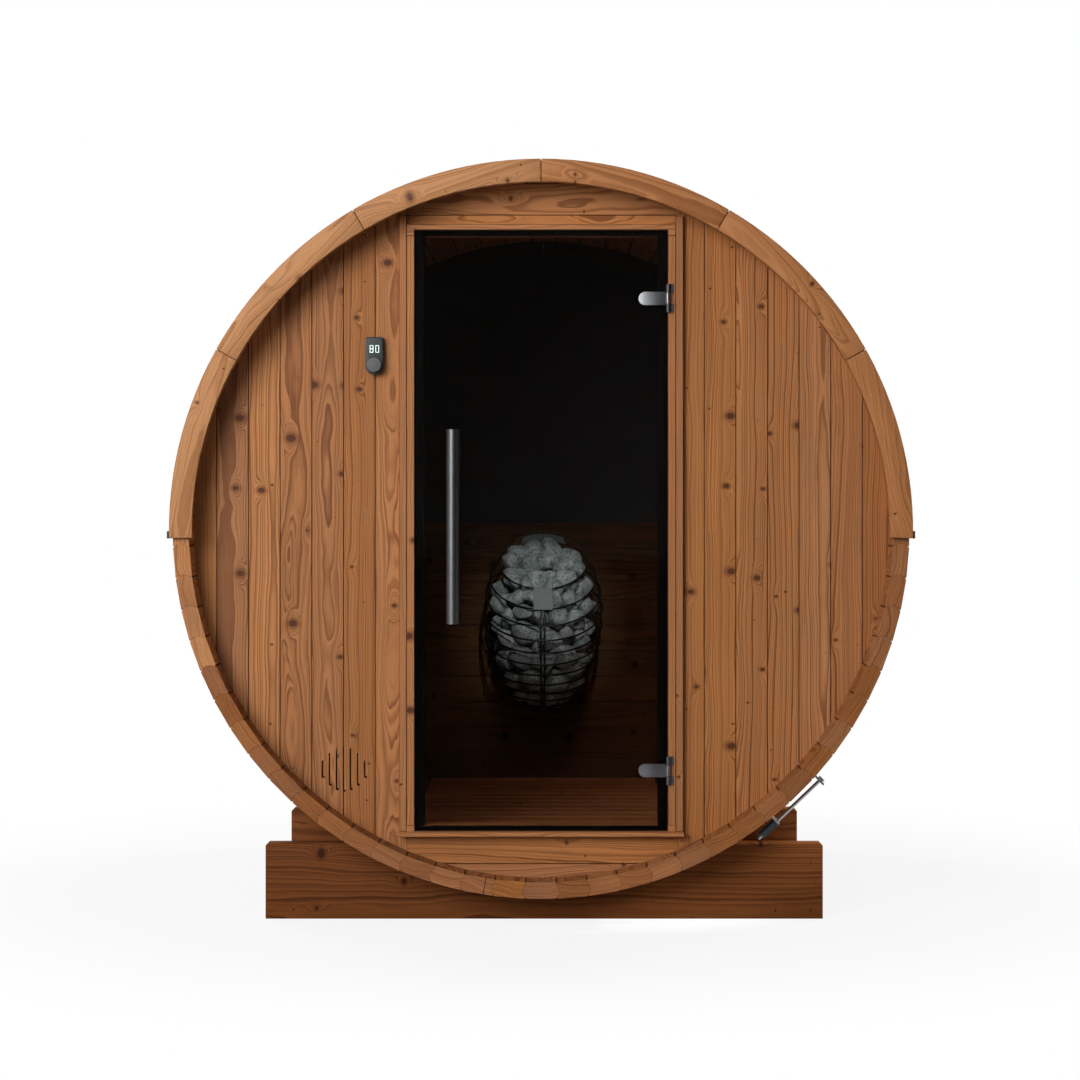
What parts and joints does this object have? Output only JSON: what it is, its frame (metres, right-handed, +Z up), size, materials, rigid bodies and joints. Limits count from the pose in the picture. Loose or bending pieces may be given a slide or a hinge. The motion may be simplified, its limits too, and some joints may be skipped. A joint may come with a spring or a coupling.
{
  "type": "barrel sauna",
  "caption": "Round wooden sauna of hooped staves on two cradles, with a glass door in its boarded front, a half-round rear window and a wall-hung stone heater inside.",
  "frame": {"origin": "on the ground under the middle of the barrel", "axes": "+Z up, -Y towards the front wall with the glass door, +X to the right of someone facing the door"},
  "size_m": [2.0202, 1.78, 2.0809],
  "materials": {
    "stave_wood": "sawn end grain and planed faces, heat treated",
    "trim_wood": "planed and oiled",
    "wall_wood": "planed, knotty, heat treated",
    "frame_wood": "planed, heat treated",
    "floor_wood": "planed, heat treated",
    "cradle_wood": "planed, heat treated",
    "door_glass": "tinted, clear polish",
    "window_glass": "dark tinted",
    "satin_steel": "satin",
    "dark_steel": "satin, dark",
    "hoop_steel": "zinc plated",
    "roof_rubber": "matt",
    "edge_metal": "matt dark",
    "panel_plastic": "satin",
    "basket_wire": "satin black",
    "heater_stone": "rough, speckled"
  },
  "bodies": {
    "root": {"staves_bottom": "stave_wood", "staves_lower_right": "stave_wood", "staves_right": "stave_wood", "staves_upper_right": "stave_wood", "staves_top": "stave_wood", "staves_upper_left": "stave_wood", "staves_left": "stave_wood", "staves_lower_left": "stave_wood", "front_arch_trim": "trim_wood", "rear_arch_trim": "trim_wood", "front_wall_left": "wall_wood", "front_wall_right": "wall_wood", "front_wall_over_door": "wall_wood", "front_wall_under_door": "wall_wood", "vent_shutter": "wall_wood", "door_jambs": "frame_wood", "door_head": "frame_wood", "door_sill": "frame_wood", "door_casings": "frame_wood", "hinge_leaves": "dark_steel", "control_panel": "panel_plastic", "rear_wall_boards": "wall_wood", "rear_window_arch": "wall_wood", "rear_window_glass": "window_glass", "floor_boards": "floor_wood", "floor_bearers": "floor_wood", "front_cradle_saddle": "cradle_wood", "front_cradle_planks": "cradle_wood", "rear_cradle_saddle": "cradle_wood", "rear_cradle_planks": "cradle_wood", "hoop_bands": "hoop_steel", "hoop_ears": "hoop_steel", "hoop_bolts": "hoop_steel", "hoop_coupling_nuts": "hoop_steel", "roof_membrane": "roof_rubber", "roof_edge_strips": "edge_metal", "heater_basket": "basket_wire", "heater_stones": "heater_stone", "heater_mount": "basket_wire"},
    "door": {"door_glass": "door_glass", "door_handle_outer": "satin_steel", "door_handle_inner": "satin_steel", "hinge_clamps": "satin_steel"},
    "control_knob": {"control_knob": "panel_plastic"}
  },
  "joints": [
    {"name": "door_hinge", "type": "hinge", "parent": "root", "child": "door", "pos_m": [0.3475, -0.8095, 1.065], "axis": [0, 0, 1], "range_deg": [0, 110]},
    {"name": "knob_turn", "type": "hinge", "parent": "root", "child": "control_knob", "pos_m": [-0.456, -0.805, 1.528], "axis": [0, 1, 0], "continuous": true}
  ]
}
